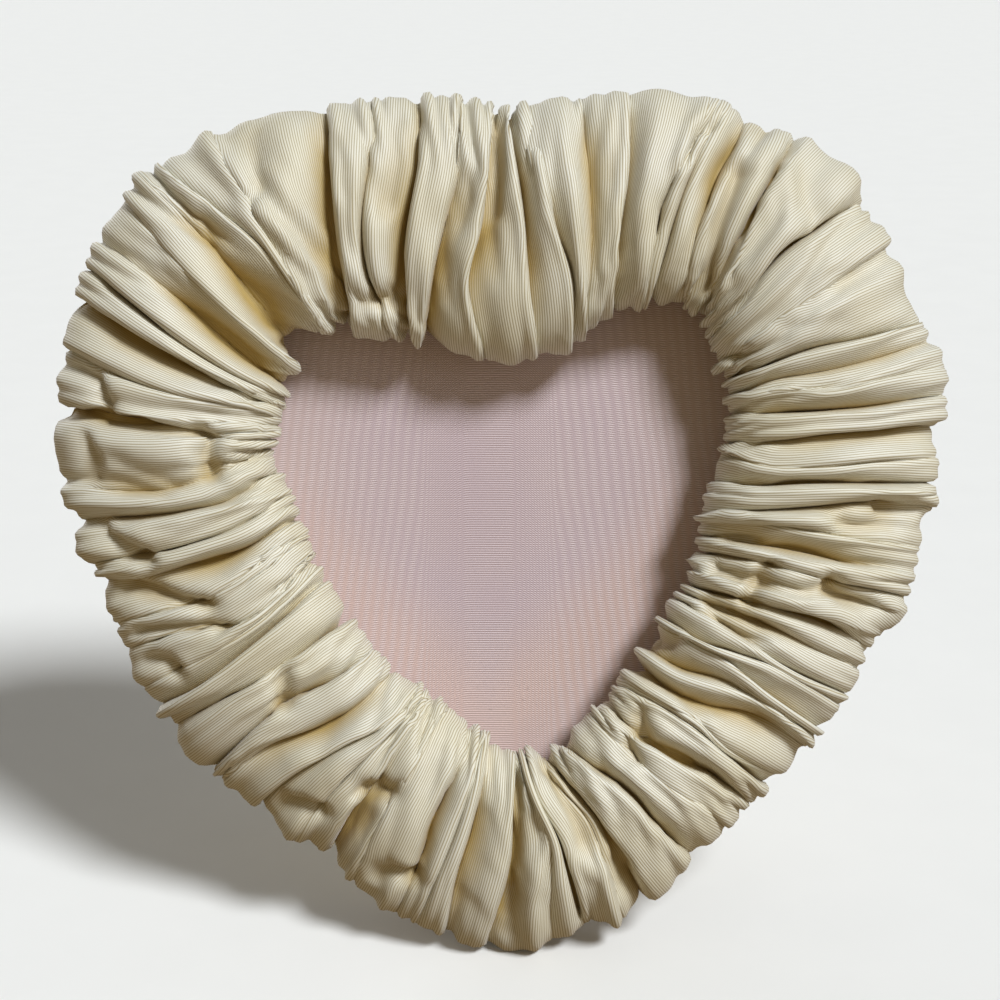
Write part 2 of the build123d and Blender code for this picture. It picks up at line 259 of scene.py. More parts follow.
def band_place(bearing, share, stand_off):
    """x and z on the face of a point of the band, at a bearing in degrees
    and a share of the way from the window to the outer rim."""
    near = soft_steps(bearing % 360, window_bearings, window_reaches, 360)
    far = soft_steps(bearing % 360, outer_bearings, outer_rim_pixels, 360)
    reach = near + share * (far - near)
    column = face_middle_pixel[0] + reach * np.cos(np.radians(bearing))
    row = face_middle_pixel[1] - reach * np.sin(np.radians(bearing))
    return from_picture(column, row, stand_off)


def crown(turn, top, side):
    """Share across the band and stand-off, as turn goes from 0 at the
    window's side over the top to pi at the outer side."""
    power = 2 / np.where(turn < math.pi / 2, window_fullness, outer_fullness)
    share = (1 - np.sign(np.cos(turn)) * np.abs(np.cos(turn)) ** power) / 2
    return share, side + (top - side) * np.sin(turn).clip(0) ** power


def add_piece(name, points, faces, finish, body=None, rib_places=None):
    """A smooth mesh piece that rides on a body, if one is given. rib_places
    holds a pair of cloth measures for each corner of each face."""
    mesh = bpy.data.meshes.new(name)
    points, faces = np.asarray(points, float).reshape(-1, 3), np.asarray(faces, int)
    mesh.vertices.add(len(points))
    mesh.vertices.foreach_set("co", points.ravel())
    mesh.loops.add(faces.size)
    mesh.loops.foreach_set("vertex_index", faces.ravel())
    mesh.polygons.add(len(faces))
    mesh.polygons.foreach_set("loop_start", np.arange(len(faces)) * faces.shape[1])
    mesh.update(calc_edges=True)
    mesh.validate()
    mesh.polygons.foreach_set("use_smooth", np.ones(len(mesh.polygons), bool))
    if rib_places is not None:
        layer = mesh.uv_layers.new(name="cloth")
        layer.data.foreach_set("uv", np.asarray(rib_places, float).ravel())
    mesh.materials.append(finish)
    piece = bpy.data.objects.new(name, mesh)
    bpy.context.collection.objects.link(piece)
    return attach(piece, body) if body else piece


def grid_faces(rows, columns, closed_rows=True, closed_columns=False):
    """Quads between the points of a grid, counted row by row."""
    row = np.arange(rows if closed_rows else rows - 1)
    column = np.arange(columns if closed_columns else columns - 1)
    i, j = np.meshgrid(row, column, indexing="ij")
    i, j = i.ravel(), j.ravel()
    next_i, next_j = (i + 1) % rows, (j + 1) % columns
    corners = ((i, j), (next_i, j), (next_i, next_j), (i, next_j))
    return np.stack([a * columns + b for a, b in corners], axis=1)


def two_tone_finish(name, grain, dark, light, depth, **values):
    """Fibres in two tones. Grain is a speckle's scale, detail and so on, and
    depth is how far it stands out."""
    finish = new_finish(name, **values)
    fibres = speckle(finish, *grain)
    feed(finish, base_color=blend(finish, fibres, colour(*dark), colour(*light)))
    relief(finish, fibres, depth)
    return finish


wadding_top = 0.0132
wadding_side = 0.006
wadding_inset_share = 0.17
board_front = 0.0025
crown_steps, bearing_steps = 25, 240
rear_corners = [3, 21]
turns = np.linspace(0, math.pi, crown_steps)
bearings = np.linspace(0, 360, bearing_steps, endpoint=False)
share, stand_off = crown(turns, wadding_top, wadding_side)
share = wadding_inset_share + share * (1 - 2 * wadding_inset_share)
share = np.r_[share, share[::-1][rear_corners]]
stand_off = np.r_[stand_off, board_front, board_front]
x, z = band_place(bearings[:, None], share[None, :], stand_off[None, :])
points = on_frame(x, z, stand_off)
faces = grid_faces(bearing_steps, len(share), closed_columns=True)
felt = two_tone_finish(
    "wadding", (700, 6, 0.7), (214, 211, 200), (238, 236, 228), 0.0006, roughness=1.0, sheen_weight=0.3,
)
wadding = add_piece("wadding_fill", points, faces, felt, "frame")
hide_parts("wadding_ring")


# Sleeve. One strip of cream ribbed faille, drawn up on two threads so that it
# stands in uneven folds across the band. Both edges turn in behind the front
# board.
depth_unit = 0.00056
wall_unit = 0.001
narrowest_fold = 0.5
samples_per_fold, samples_per_metre = 10, 900

# Each row is one crease at five shares of the way from the window to the rim:
# its bearings in degrees, its depths in depth units, and how wide its walls
# are before and after it, in millimetres.
crease_shares = (0, 0.25, 0.5, 0.75, 1)
creases = (
    ((3, 2.1, 2.2, 2.6, 2.3), (4, 8, 10, 10, 9), 1.5, 1.2),
    ((9.5, 6.8, 5.8, 5, 4.3), (3, 12, 16, 10, 6), 0.8, 3.2),
    ((18.5, 12.7, 10.4, 9.7, 8.8), (4, 8, 9, 10, 8), 2.2, 1),
    ((20.5, 16.8, 15, 13.4, 12.5), (2, 6, 8, 10, 10), 2, 1),
    ((25, 21.3, 18.4, 16.6, 15.8), (4, 9, 11, 9, 6), 1, 1.5),
    ((28, 25, 21.3, 20.3, 18.8), (2, 4, 7, 15, 10), 0.9, 1.2),
    ((29, 27.6, 25, 23.6, 23.2), (4, 6, 6, 6, 4), 1.5, 1.5),
    ((32, 30, 28.3, 26.5, 25), (9, 12, 14, 12, 8), 0.9, 1.4),
    ((36, 36.2, 36, 36, 36), (8, 5, 3, 2, 2), 1, 1),
    ((41.8, 43, 44.2, 43.3, 42), (7, 6, 12, 10, 6), 1.2, 1.2),
    ((46, 48.8, 50.5, 51.8, 52.8), (8, 10, 13, 12, 5), 1.2, 1.4),
    ((50.5, 54, 56.8, 58.2, 58.8), (3, 3, 6, 11, 8), 1.2, 2),
    ((56.5, 58.8, 61, 62.2, 62), (8, 10, 11, 11, 0), 1.5, 1.2),
    ((58.5, 61.5, 63.7, 64.3, 64), (9, 9, 10, 3, 0), 1.2, 1.2),
    ((64, 66.8, 70.2, 72.2, 74.8), (8, 11, 12, 9, 5), 1.8, 0.9),
    ((67, 70.5, 74, 77.2, 80), (2, 4, 7, 8, 6), 3, 1.8),
    ((70.5, 75, 81.5, 85.5, 88.5), (9, 12, 9, 0, 0), 2.2, 1),
    ((82, 85.6, 87.4, 89.2, 90.8), (2, 8, 12, 14, 8), 2.2, 1),
    ((100, 101, 96.2, 93.9, 93), (2, 7, 12, 9, 6), 4, 1),
    ((116, 108.5, 102.5, 98, 96.5), (9, 12, 8, 0, 0), 2, 0.9),
    ((118.5, 113.8, 109, 104, 101), (9, 12, 11, 8, 6), 1, 2),
    ((122.5, 120.3, 116.5, 111.5, 107.5), (6, 12, 11, 9, 3), 1.5, 1.2),
    ((129, 124.2, 120, 116.5, 113), (9, 14, 14, 12, 7), 0.9, 3),
    ((133, 131.8, 130.3, 128.7, 127.8), (7, 10, 12, 9, 8), 1.2, 1.2),
    ((134, 132.6, 132.6, 134, 135.3), (5, 8, 10, 9, 3), 1.5, 1),
    ((139.8, 139, 137.8, 137, 136.8), (8, 14, 9, 5, 0), 2.2, 1.8),
    ((144.5, 143.5, 142.4, 141.5, 139.8), (4, 6, 7, 10, 9), 1.2, 1),
    ((149, 148.2, 146.8, 146, 145.5), (10, 14, 10, 4, 0), 2, 1.5),
    ((151, 151.8, 151.2, 150, 148.8), (5, 9, 10, 14, 14), 1.2, 1.2),
    ((153, 153.7, 153.4, 153, 152.2), (4, 9, 13, 14, 10), 0.7, 2.5),
    ((155, 157.4, 159.4, 159.9, 159), (8, 12, 10, 10, 8), 1.5, 1),
    ((159, 162, 163.7, 164.8, 165.2), (0, 3, 11, 17, 16), 0.8, 3.5),
    ((163, 170, 174.5, 176.2, 175.5), (3, 3, 4, 6, 6), 5, 1.5),
    ((168, 175.5, 178.5, 180, 180.2), (5, 8, 10, 11, 10), 1.5, 1.2),
    ((174, 180.8, 184.2, 185.8, 186), (4, 8, 11, 12, 10), 1.2, 1),
    ((178, 185.3, 187.5, 188.6, 188.5), (2, 9, 12, 5, 0), 1.2, 1.8),
    ((183, 189, 193.8, 194.8, 194.2), (0, 0, 8, 11, 9), 1.2, 1),
    ((190, 198.5, 201, 199.5, 198.8), (0, 2, 10, 14, 12), 0.8, 1),
    ((196, 201.8, 204.6, 205.4, 205.3), (3, 6, 5, 11, 13), 1.2, 1),
    ((200.5, 204.5, 207.3, 208.9, 209), (2, 9, 9, 7, 9), 3, 0.8),
    ((213.3, 213.8, 213.8, 213.3, 212.6), (12, 10, 8, 14, 13), 1.5, 1),
    ((225, 223, 220.2, 220.2, 220.7), (4, 8, 11, 7, 9), 1.5, 0.8),
    ((232, 231, 228, 223.5, 222.3), (3, 7, 10, 7, 0), 1.2, 2.5),
    ((240.5, 238.5, 233, 229.8, 228.2), (0, 4, 11, 10, 11), 1.2, 1.5),
    ((244.5, 241.2, 238.3, 236.6, 235.6), (3, 7, 12, 11, 8), 1, 1.2),
    ((246.5, 244, 243, 241.5, 241), (0, 2, 7, 13, 12), 0.8, 4),
    ((250, 248.5, 247.5, 246.8, 246), (3, 10, 13, 13, 8), 1.2, 1),
    ((261, 258.6, 256.2, 255.3, 254), (0, 6, 12, 10, 4), 1.2, 1.5),
    ((263.5, 262.2, 260.8, 259, 257.2), (0, 4, 9, 8, 8), 1.2, 1),
    ((265, 264.5, 263.2, 261.6, 261.2), (3, 5, 9, 8, 8), 1, 2),
    ((270.8, 270.3, 269.7, 268.3, 266), (8, 10, 14, 14, 9), 0.8, 2.4),
    ((272.5, 275, 277.6, 276.4, 275.7), (5, 5, 9, 11, 9), 0.9, 1.2),
    ((274, 276.3, 279, 280.2, 280.8), (4, 6, 10, 13, 12), 1.2, 1),
    ((278, 281.8, 285.6, 286.2, 286.3), (7, 10, 10, 11, 3), 1, 1.2),
    ((279.5, 283.2, 286.8, 289, 290.3), (6, 9, 10, 12, 11), 1.8, 1),
    ((283, 288.8, 293.5, 296, 298.3), (7, 10, 14, 12, 7), 0.9, 1.5),
    ((293, 295.9, 299, 302.3, 306), (8, 9, 7, 6, 5), 0.8, 0.8),
    ((296.5, 300.2, 304.5, 308, 310.3), (4, 9, 15, 14, 9), 1, 1.5),
    ((302, 308, 311, 312.4, 313.4), (6, 9, 8, 13, 11), 0.8, 2.4),
    ((306, 310.5, 313, 314, 316.5), (3, 5, 0, 3, 5), 1.5, 1.5),
    ((311, 313, 316.8, 321.5, 323), (9, 9, 9, 8, 3), 2.2, 3),
    ((316.5, 319, 323.5, 324.6, 325), (6, 9, 6, 0, 0), 2, 2.5),
    ((325, 325.6, 325.9, 325.6, 325.8), (10, 7, 6, 6, 5), 0.9, 2.2),
    ((326.3, 327, 328.8, 330.2, 330), (10, 8, 12, 17, 13), 0.8, 2.5),
    ((334.5, 333.5, 332.5, 331.8, 332.5), (6, 5, 3, 6, 6), 1.5, 2),
    ((338.3, 338, 338, 337.5, 337), (6, 9, 9, 4, 0), 2.2, 1.5),
    ((341, 341.2, 341.6, 341.8, 341), (12, 12, 9, 12, 8), 1.5, 1.2),
    ((350, 350.2, 349.5, 348.9, 349.2), (6, 8, 7, 9, 9), 1, 1.2),
    ((354, 353.3, 352.7, 352.3, 352), (4, 10, 16, 8, 0), 1, 1.8),
    ((359.2, 358.3, 357.3, 356.1, 355.5), (10, 11, 10, 10, 8), 0.9, 1.5),
)

# Hollows that start or end within a fold: pinches, pockets and the curled
# tips of folds, as bearings and shares across the band, a depth and a width.
hollows = (
    (((33, 0.95), (34, 0.78)), 4, 1.6),
    (((41, 0.95), (40.2, 0.75), (38.5, 0.55)), 3, 0.9),
    (((46, 0.78), (49, 0.88), (52, 0.97)), 5, 2.2),
    (((55.7, 0.75), (54.7, 0.6), (53.3, 0.45), (51.3, 0.3), (48.5, 0.12)), 9, 1.4),
    (((62, 0.92), (63.8, 0.88), (63.3, 0.76)), 7, 1),
    (((64.2, 0.64), (64, 0.52), (62.8, 0.42)), 8, 0.9),
    (((34, 0.14), (35.6, 0.07)), 9, 1),
    (((91.4, 0.98), (91.6, 0.8), (92.6, 0.6)), 11, 1),
    (((97.3, 0.7), (97.8, 0.6), (100, 0.52)), 5, 2),
    (((105, 0.95), (107, 0.75), (110, 0.6)), 5, 1.8),
    (((118, 0.17), (122, 0.15)), 9, 1.5),
    (((123, 0.98), (124, 0.85), (125.8, 0.72), (127.6, 0.68)), 8, 1),
    (((131, 0.95), (131, 0.76)), 5, 1.8),
    (((160.5, 1), (161, 0.88), (164, 0.8)), 9, 1),
    (((163.3, 0.33), (165, 0.29), (168, 0.31), (170.5, 0.3)), 12, 1.3),
    (((170, 0.9), (172.5, 0.87), (174.5, 0.92)), 7, 1.2),
    (((181.5, 0.95), (183.5, 0.87), (186, 0.78)), 10, 1.4),
    (((189.6, 0.94), (191, 0.8), (193, 0.67), (195, 0.57)), 12, 1.2),
    (((196.8, 0.95), (197.8, 0.75), (199, 0.62), (200.6, 0.54)), 9, 0.8),
    (((201.5, 0.95), (203, 0.88), (205, 0.86)), 10, 1.2),
    (((216, 0.42), (218, 0.47), (220, 0.5)), 11, 0.9),
    (((231.5, 0.95), (234, 0.88), (236.5, 0.86)), 10, 1.2),
    (((241.5, 0.62), (244, 0.54), (246.5, 0.51)), 12, 1.2),
    (((250, 0.93), (252, 0.86), (255, 0.83)), 9, 1),
    (((269.6, 1), (269.8, 0.8)), 10, 1.2),
    (((283.2, 0.6), (282.8, 0.45), (281, 0.28), (278.5, 0.12)), 9, 2.2),
    (((287.5, 0.93), (287.4, 0.8)), 5, 1.6),
    (((297.5, 0.38), (298, 0.28)), 9, 1),
    (((301.5, 0.3), (302.5, 0.22)), 8, 1),
    (((321.5, 0.14), (319, 0.06), (317.3, 0.03)), 8, 1.4),
    (((334.2, 0.45), (334.5, 0.3), (336, 0.2)), 7, 1.8),
    (((341.7, 0.33), (345, 0.33), (349.5, 0.34)), 9, 1),
    (((345.2, 0.28), (346.5, 0.12)), 8, 2),
    (((345.7, 0.93), (345.8, 0.78), (347, 0.68), (348.2, 0.66)), 14, 1.1),
    (((354.2, 0.24), (354.4, 0.14)), 6, 1.4),
    (((358.5, 0.93), (358.3, 0.75), (359.2, 0.66)), 9, 1.2),
    (((0.8, 1), (1.2, 0.87)), 12, 1),
)

# Where fold ends stand out past the outer rim or draw back: bearings, how
# far in millimetres, and half widths in degrees.
rim_tips = (
    (2.2, 4.4, 2), (7, 3.2, 2.2), (13.5, 1.6, 1.8), (32.8, 3, 1.3), (37.5, 2, 1.4), (45.3, 4.2, 1.7),
    (51.8, 1.8, 1.3), (56.5, -2.2, 1.8), (61, 1, 1.2), (64, 1.2, 1.8), (72.5, 1.4, 2), (79, 2.4, 1.3),
    (84, 0.8, 2.2), (108.5, 1.5, 2.2), (119, -0.8, 3.5), (125, -1.8, 1.2), (128, 1.8, 1.6),
    (131, -1.2, 1.1), (137.2, 4, 2), (142, 0.6, 2), (148, -1.4, 1.2), (152, -1.2, 1.4), (157, 1, 2),
    (163, 1.6, 1.8), (166.8, -1.4, 1.2), (176.5, 3, 2.4), (183.5, 2.6, 2.6), (188.6, -2, 1.1),
    (192, 1.2, 1.6), (200.5, -1.2, 1.2), (203, 1.2, 2), (213, -1.3, 1), (218, 1, 2), (230, -1.4, 1.1),
    (235, 2.6, 2.4), (249, -1.3, 1.2), (253, 1.3, 1.8), (263, 0.8, 1.6), (285.5, 1.8, 2.2), (293, 1, 1.8),
    (303, 1.2, 2), (307, 1.4, 1), (312, 1.4, 1.4), (320, 1, 2), (323, 1.4, 1), (328, 0.9, 1.6),
    (335.5, 1.6, 1.2), (340, 1.2, 2), (347, 1.5, 1.9), (352.5, 1.2, 1.4), (356.5, 1.6, 1.8),
)

# Across the band: along the turn-in behind the board, round its edge, over
# the crown and back the same way.
crown_points = 61
lip_insets = np.array((0.0185, 0.0155, 0.0125, 0.0095))
lip_stand_off = -0.0007
edge_steps, edge_inset, edge_fullness = 6, 0.0055, 0.8
lip_fade, edge_fades = 0.06, (0.12, 0.9)
short_of_window = 3
edge_turns = np.linspace(math.pi / 2, 0, edge_steps, endpoint=False)
edge_insets = edge_inset * np.sin(edge_turns)
edge_stand_offs = side_stand_off - (side_stand_off - lip_stand_off) * np.sin(edge_turns) ** edge_fullness
crown_turns = np.linspace(0, math.pi, crown_points)
crown_shares, crown_stand_offs = crown(crown_turns, fold_top, side_stand_off)
side_insets = np.r_[lip_insets, edge_insets]
side_stand_offs = np.r_[np.full(len(lip_insets), lip_stand_off), edge_stand_offs]
side_fade = np.r_[np.full(len(lip_insets), lip_fade), np.linspace(*edge_fades, edge_steps)]
side_points = len(side_insets)
insets = np.r_[side_insets, np.zeros(crown_points), -side_insets[::-1]]
shares = np.r_[np.zeros(side_points), crown_shares, np.ones(side_points)]
stand_offs = np.r_[side_stand_offs, crown_stand_offs, side_stand_offs[::-1]]
fade = np.r_[side_fade, np.ones(crown_points), side_fade[::-1]]
turn_back = np.linspace(math.pi, 0, side_points + 1 + short_of_window)[1:-short_of_window]
crown_way = np.r_[np.zeros(side_points), crown_turns, turn_back] / math.pi


def crease_lines():
    """Bearing of each crease at each station across the band, kept in order."""
    lines = np.array([soft_steps(shares, crease_shares, row[0]) for row in creases])
    for k in range(1, len(lines)):
        lines[k] = np.maximum(lines[k], lines[k - 1] + narrowest_fold)
    return lines


def unit(ways):
    """The same ways, each of length 1."""
    return ways / np.maximum(np.linalg.norm(ways, axis=-1, keepdims=True), 1e-9)


def base_points(bearing):
    """The smooth band without folds, at bearings given for each station."""
    x, z = band_place(bearing, shares[None, :], stand_offs.clip(side_stand_off)[None, :])
    far_x, far_z = band_place(bearing, 1 - shares[None, :], side_stand_off)
    way = unit(np.stack((far_x - x, far_z - z), axis=-1))
    way *= np.where(shares > 0.5, -1, 1)[None, :, None]
    return on_frame(x + way[..., 0] * insets, z + way[..., 1] * insets, stand_offs)


def round_the_band(points):
    """Length of each step round the band, and the way run before it."""
    step = np.linalg.norm(np.roll(points, -1, axis=0) - points, axis=-1)
    return step, np.cumsum(step, axis=0) - step


lines = crease_lines()
next_lines = np.r_[lines[1:], lines[:1] + 360]
middle = len(shares) // 2
fold_widths = np.linalg.norm(base_points(next_lines) - base_points(lines), axis=-1)[:, middle]
counts = samples_per_fold + (fold_widths * samples_per_metre).astype(int) // 2 * 2
fold_of = np.repeat(np.arange(len(creases)), counts)
part_of = np.concatenate([(1 - np.cos(np.arange(n) * math.pi / n)) / 2 for n in counts])
bearing = lines[fold_of] + part_of[:, None] * (next_lines - lines)[fold_of]
base = base_points(bearing)

step_along, run = round_the_band(base)
starts = np.r_[0, np.cumsum(counts)[:-1]]
from_start = run - run[starts][fold_of]
fold_run = np.add.reduceat(step_along, starts, axis=0)[fold_of]
to_end = fold_run - from_start

# A crease with wide walls is a soft slope, one with narrow walls a hard edge.
slope_bend = 1.35
soft_from, soft_span = 0.0011, 0.0008
edge_spread, slope_spread = 1.3, 1.9
steepest_crest = 0.12


def crease_wall(distance, width, softness):
    """How far down the side of a crease the cloth is, 1 in the crease and 0
    on top. A hard side is a round edge, a soft side a nearly flat slope."""
    u = 1 - np.clip(distance / width, 0, 1)
    edge = 1 - np.sqrt(1 - u * u)
    return edge + softness * (u ** slope_bend - edge)


hollow_share, hollow_spread = 0.8, 1.15
slow_side, steep_side, side_blend = 1.9, 0.5, 0.25


def hollow_depth(x, z, path, width):
    """How near each point of the face is to a hollow's line, 1 on it. Right
    of the line, on its way, the hollow runs out slowly."""
    bearings, stations = np.array(path, float).T
    px, pz = band_place(bearings, stations, fold_top)
    near, side = np.full(x.shape, np.inf), np.zeros(x.shape)
    for start_x, start_z, run_x, run_z in zip(px, pz, np.diff(px), np.diff(pz)):
        from_x, from_z = x - start_x, z - start_z
        square = run_x ** 2 + run_z ** 2
        t = ((from_x * run_x + from_z * run_z) / square).clip(0, 1)
        distance = np.hypot(from_x - t * run_x, from_z - t * run_z)
        turn = (run_x * from_z - run_z * from_x) / np.sqrt(square)
        side = np.where(distance < near, turn, side)
        near = np.minimum(near, distance)
    steepness = 1 / (1 + np.exp(-side / (side_blend * width)))
    reach = width * (slow_side + (steep_side - slow_side) * steepness)
    return np.exp(-((near / reach) ** 2))


depths = depth_unit * np.array([soft_steps(shares, crease_shares, row[1]) for row in creases]).clip(0)
before = np.array([row[2] for row in creases]) * wall_unit
after = np.array([row[3] for row in creases]) * wall_unit
soft_before, soft_after = (((w - soft_from) / soft_span).clip(0, 1) for w in (before, after))
before = before * (edge_spread + soft_before * slope_spread)
after = after * (edge_spread + soft_after * slope_spread)
next_of = (fold_of + 1) % len(creases)
crest = after / (after + np.roll(before, -1))
crest = crest.clip(steepest_crest, 1 - steepest_crest)[fold_of][:, None]
after_wall = np.minimum(after[fold_of][:, None], fold_run * crest)
before_wall = np.minimum(before[next_of][:, None], fold_run * (1 - crest))
start_side = crease_wall(from_start, after_wall, soft_after[fold_of][:, None])
end_side = crease_wall(to_end, before_wall, soft_before[next_of][:, None])
sink = depths[fold_of] * start_side + depths[next_of] * end_side
raised = (1 - start_side) * (1 - end_side)
face_x, face_z = (base - face_origin) @ right, (base - face_origin) @ up
hollow_grip = np.zeros(sink.shape)
for path, depth, width in hollows:
    deep = hollow_depth(face_x, face_z, path, hollow_spread * width * wall_unit)
    sink += hollow_share * depth_unit * depth * deep
    hollow_grip = np.maximum(hollow_grip, deep)

# Small dents scattered over the folds, where stiff cloth has given way.
dent_count, dent_depths, dent_widths = 90, (0.0003, 0.0009), (0.0010, 0.0024)
dent_shares, dent_lengths, dent_slant = (0.1, 0.85), (0.1, 0.45), 1.8
rng = np.random.default_rng(5)
for _ in range(dent_count):
    at, share, slant = rng.uniform(0, 360), rng.uniform(*dent_shares), rng.normal(0, dent_slant)
    length = rng.uniform(*dent_lengths)
    path = ((at, share), (at + slant, share + length))
    sink += rng.uniform(*dent_depths) * hollow_depth(face_x, face_z, path, rng.uniform(*dent_widths))

# Folds stand unequally high, are full in the middle and lean to their steep
# side, and the cloth on them is never quite flat.
fold_unevenness = 0.0004
lift_shares = (0, 0.35, 0.7, 1)
swell_share, swell_limit = 0.06, 0.0008
lean_share, lean_limit = 0.45, 0.003
ripple_height = 0.00018
outer_ruffle, window_ruffle = 0.00026, 0.00018
outer_ruffle_from, window_ruffle_to = 0.6, 0.3
calm_from, rim_calming = 0.72, 0.5
tips_from = 0.62
wave_layers, wave_starts = 6, (0, 6.3)


def waves(fewest, most, slant):
    """Layers of waves round the band, of uneven number, slant and start."""
    total = 0
    for _ in range(wave_layers):
        number, tilt = rng.integers(fewest, most), rng.uniform(-slant, slant)
        total += np.sin(round_way * number + shares * tilt + rng.uniform(*wave_starts))
    return total


rng = np.random.default_rng(11)
lift_steps = rng.normal(0, fold_unevenness, (len(creases), len(lift_shares)))
lifts = np.array([soft_steps(shares, lift_shares, row) for row in lift_steps])
swell = swell_share * fold_run * (4 * part_of * (1 - part_of))[:, None]
round_way = 2 * math.pi * run / (run[-1:] + step_along[-1:])
ripple = ripple_height * waves(25, 70, 9)
ruffle = outer_ruffle * ((shares - outer_ruffle_from) / (1 - outer_ruffle_from)).clip(0) ** 1.5
ruffle = waves(90, 210, 6) * (ruffle + window_ruffle * (1 - shares / window_ruffle_to).clip(0))
rim_calm = 1 - rim_calming * ((crown_way - calm_from) / (1 - calm_from)).clip(0, 1)
height = swell.clip(0, swell_limit) - sink * rim_calm + raised * (lifts[fold_of] + ripple) + ruffle
rim_bearing = bearing[:, side_points + crown_points - 1][:, None]
tips = sum(
    reach * wall_unit * np.exp(-((((rim_bearing - at + 180) % 360 - 180) / half) ** 2))
    for at, reach, half in rim_tips
)
tip_share = ((crown_way - tips_from) / (1 - tips_from)).clip(0, 1)
height = height * fade + tips * tip_share ** 2 * (3 - 2 * tip_share)
lean = (before_wall - after_wall).clip(-lean_limit, lean_limit) * lean_share * raised * fade

along = np.roll(base, -1, axis=0) - np.roll(base, 1, axis=0)
across = np.gradient(base, axis=1)
normal = unit(np.cross(along, across))
normal *= np.sign((normal[:, middle] @ out).mean())
cloth = base + normal * height[..., None] - unit(along) * lean[..., None]

# How the cloth settles: which of a row's lengths it keeps, how firmly it holds
# its shape and its places, how much each round moves it, and how deep it goes.
length_rank, crown_margin = 86, 4
evened_share, evening_rounds = 0.3, 30
shear_firmness, bend_firmness = 0.35, 0.08
hold_crown, hold_crease, hold_edge = 0.01, 0.06, 0.3
settle_rounds, easing, smoothing = 80, 0.45, 0.25
deepest = -0.0057
lowest = 0.0001


def settle(start, smooth, holds, outward):
    """Lets the cloth find its own lengths: a straight strip is as long at its
    window edge as at its outer edge, so where the shape leaves too little
    room it buckles into smaller folds. Holds say how firmly each point keeps
    its place, outward is the way off the wadding."""
    around = np.roll(start, -1, axis=0) - start
    over = start[:, 1:] - start[:, :-1]
    along_length, over_length = (np.linalg.norm(way, axis=-1) for way in (around, over))
    crown_part = slice(side_points + crown_margin, -side_points - crown_margin)
    along_rest = np.percentile(along_length[:, crown_part], length_rank, axis=1)[:, None]
    along_rest = np.broadcast_to(along_rest, along_length.shape)
    over_rest = evened_share * over_length.mean(axis=0) + (1 - evened_share) * over_length
    skew = (around[:, :-1] * over).sum(axis=-1) / (along_length[:, :-1] * over_length)
    for _ in range(evening_rounds):
        skew = (skew + np.roll(skew, 1, axis=0) + np.roll(skew, -1, axis=0)) / 3
    square = along_rest[:, :-1] ** 2 + over_rest ** 2
    slant = 2 * along_rest[:, :-1] * over_rest * skew
    twice_along = along_rest + np.roll(along_rest, -1, axis=0)
    twice_over = over_rest[:, :-1] + over_rest[:, 1:]
    everywhere, but_last, but_first = slice(None), slice(None, -1), slice(1, None)
    pairs = (
        (1, everywhere, everywhere, along_rest, 1.0),
        (0, but_last, but_first, over_rest, 1.0),
        (1, but_last, but_first, np.sqrt(square + slant), shear_firmness),
        (1, but_first, but_last, np.sqrt(square - slant), shear_firmness),
        (2, everywhere, everywhere, twice_along, bend_firmness),
        (0, slice(None, -2), slice(2, None), twice_over, bend_firmness),
    )
    place = start.copy()
    for _ in range(settle_rounds):
        move = np.zeros_like(place)
        for rows_ahead, near, far, rest, firmness in pairs:
            way = np.roll(place, -rows_ahead, axis=0)[:, far] - place[:, near]
            length = np.linalg.norm(way, axis=-1)
            part = way * (firmness * (1 - rest / np.maximum(length, 1e-7)) / 2)[..., None]
            move[:, near] += part
            move[:, far] -= np.roll(part, rows_ahead, axis=0)
        place += move * easing
        place += (start - place) * holds
        high = ((place - smooth) * outward).sum(axis=-1)
        place += outward * (deepest - high).clip(0)[..., None]
    place += smoothing * (np.roll(place, 1, axis=0) + np.roll(place, -1, axis=0) - 2 * place)
    place[:, 1:-1] += smoothing * (place[:, :-2] + place[:, 2:] - 2 * place[:, 1:-1])
    return place


holds = hold_crown + (hold_crease - hold_crown) * (1 - raised) ** 2
holds = np.maximum(holds, hold_crease * hollow_grip)
holds = np.where(fade < 1, 1 - (1 - hold_edge) * fade, holds)[..., None]
cloth = settle(cloth, base, holds, normal)
cloth[..., 2] = np.maximum(cloth[..., 2], lowest)

# The weft ribs run across the band, so each fold is measured from its ridge.
rib_shift = 0.0131
step_along, run = round_the_band(cloth)
ridge = starts + counts // 2
from_ridge = run - run[ridge][fold_of]
step_across = np.linalg.norm(np.diff(cloth, axis=1), axis=-1)
run_across = np.c_[np.zeros(len(cloth)), np.cumsum(step_across, axis=1)]
run_across = run_across[ridge][fold_of]
near_u = from_ridge + (fold_of * rib_shift)[:, None]
far_u = near_u + step_along
corner_u = np.stack((near_u[:, :-1], far_u[:, :-1], far_u[:, 1:], near_u[:, 1:]), axis=-1)
corner_v = np.stack((run_across[:, :-1],) * 2 + (run_across[:, 1:],) * 2, axis=-1)
rib_places = np.stack((corner_u, corner_v), axis=-1)


def wave(finish, turns):
    """From 1 to 0 and back, once for each full turn."""
    return maths(finish, "MULTIPLY", maths(finish, "ADD", maths(finish, "COSINE", turns), 1.0), 0.5)


